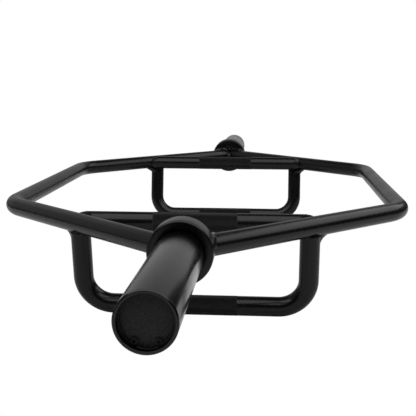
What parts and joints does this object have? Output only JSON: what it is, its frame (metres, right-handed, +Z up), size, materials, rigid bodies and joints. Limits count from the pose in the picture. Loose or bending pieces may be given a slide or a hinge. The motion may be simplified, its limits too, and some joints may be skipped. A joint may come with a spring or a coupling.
{
  "type": "hex trap bar",
  "caption": "Hexagonal welded round-bar lifting frame with knurled high grips, hanging low handles, hub collars and free-turning sleeves for weight plates.",
  "frame": {"origin": "on the floor under the middle of the bar: the bar stands on the undersides of its low handles", "axes": "+Z up, +Y along the sleeves towards the far end, +X across the bar to the right"},
  "size_m": [0.546, 1.4224, 0.1488],
  "materials": {
    "frame_coat": "satin black powder coat on steel",
    "grip_coat": "satin black powder coat, matte where knurled",
    "sleeve_finish": "satin black zinc on turned steel tube",
    "cap_finish": "fine-textured matte black",
    "spring_steel": "black phosphated spring steel",
    "axle_steel": "ground bright steel",
    "bronze": "oil-filled sintered bronze"
  },
  "bodies": {
    "frame": {"left_frame_bar": "frame_coat", "right_frame_bar": "frame_coat", "near_high_grip": "grip_coat", "near_low_handle": "grip_coat", "near_high_grip_welds": "frame_coat", "near_low_handle_welds": "frame_coat", "near_hub_welds": "frame_coat", "near_hub_collar": "frame_coat", "near_stub_axle": "axle_steel", "near_axle_circlip": "spring_steel", "near_inner_thrust_washer": "bronze", "near_outer_thrust_washer": "bronze", "far_high_grip": "grip_coat", "far_low_handle": "grip_coat", "far_high_grip_welds": "frame_coat", "far_low_handle_welds": "frame_coat", "far_hub_welds": "frame_coat", "far_hub_collar": "frame_coat", "far_stub_axle": "axle_steel", "far_axle_circlip": "spring_steel", "far_inner_thrust_washer": "bronze", "far_outer_thrust_washer": "bronze"},
    "near_sleeve": {"near_plate_sleeve": "sleeve_finish", "near_inner_bushing": "bronze", "near_outer_bushing": "bronze", "near_end_cap": "cap_finish", "near_end_circlip": "spring_steel"},
    "far_sleeve": {"far_plate_sleeve": "sleeve_finish", "far_inner_bushing": "bronze", "far_outer_bushing": "bronze", "far_end_cap": "cap_finish", "far_end_circlip": "spring_steel"}
  },
  "joints": [
    {"name": "near_sleeve_spin", "type": "hinge", "parent": "frame", "child": "near_sleeve", "pos_m": [0, -0.5992, 0.1148], "axis": [0, 1, 0], "continuous": true},
    {"name": "far_sleeve_spin", "type": "hinge", "parent": "frame", "child": "far_sleeve", "pos_m": [0, 0.5992, 0.1148], "axis": [0, 1, 0], "continuous": true}
  ]
}
